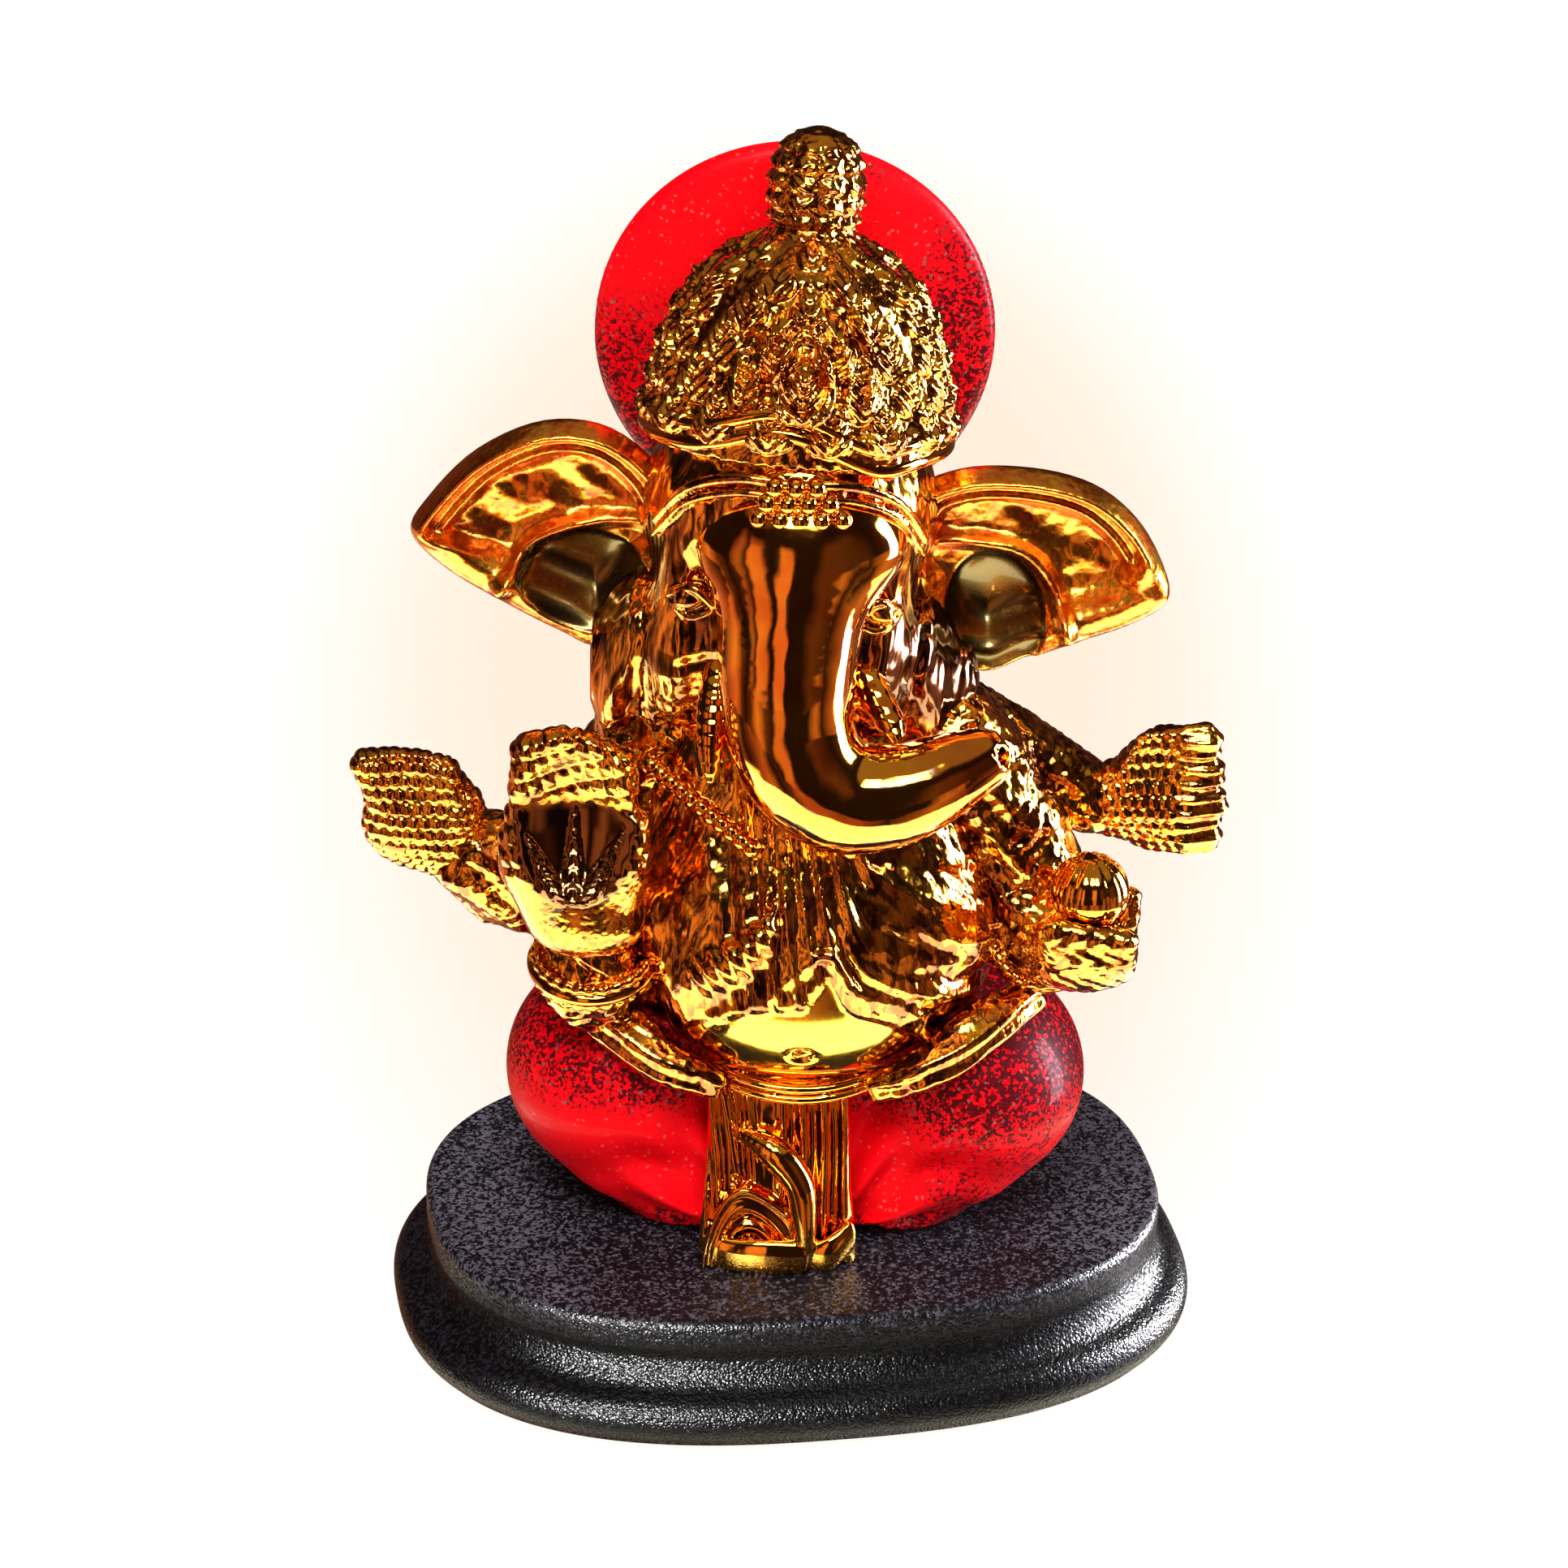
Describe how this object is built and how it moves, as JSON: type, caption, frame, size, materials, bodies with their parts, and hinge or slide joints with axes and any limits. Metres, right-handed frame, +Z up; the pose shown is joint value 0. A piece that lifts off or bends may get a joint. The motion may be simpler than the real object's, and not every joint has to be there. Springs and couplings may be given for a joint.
{
  "type": "ganesha idol",
  "caption": "Seated elephant-headed idol with a tall crown and a halo disc, cast in parts and screwed to a moulded oval plinth.",
  "frame": {"origin": "centre of the plinth's resting plane, the underside of its felt", "axes": "+Z up; +X to the viewer's right as the figure faces the viewer; the plinth's long side and the figure's front face -Y, with the figure turned a little towards -X"},
  "size_m": [0.1002, 0.0692, 0.1453],
  "materials": {
    "gold_plate": "cast resin with a bright vacuum-plated gold skin",
    "red_lacquer": "cast resin under translucent red glitter lacquer",
    "black_lacquer": "black gloss with a fine leather-like grain",
    "felt": "black self-adhesive felt",
    "steel": "plain",
    "insert_brass": "knurled insert, plain here"
  },
  "bodies": {
    "root": {"plinth": "black_lacquer", "base_felt": "felt", "plinth_screws": "steel", "screw_washers": "steel", "dhoti_inserts": "insert_brass", "dhoti": "red_lacquer", "dhoti_pleats": "gold_plate", "waist_belt": "gold_plate", "torso": "gold_plate", "torso_dowels": "steel", "sash_right": "gold_plate", "sash_left": "gold_plate", "necklace": "gold_plate", "head": "gold_plate", "neck_dowel": "steel", "trunk": "gold_plate", "ear_right": "gold_plate", "ear_left": "gold_plate", "tusk_right": "gold_plate", "tusk_left": "gold_plate", "forehead_jewel": "gold_plate", "crown_band": "gold_plate", "crown": "gold_plate", "crown_finial": "gold_plate", "crown_dowel": "steel", "halo": "red_lacquer", "halo_back": "gold_plate", "halo_post": "steel", "rear_right_arm": "gold_plate", "rear_right_hand": "gold_plate", "rear_left_arm": "gold_plate", "rear_left_hand": "gold_plate", "front_right_arm": "gold_plate", "front_right_bracelet": "gold_plate", "front_right_hand": "gold_plate", "front_left_arm": "gold_plate", "front_left_bracelet": "gold_plate", "front_left_hand": "gold_plate", "sweet": "gold_plate"}
  },
  "joints": []
}
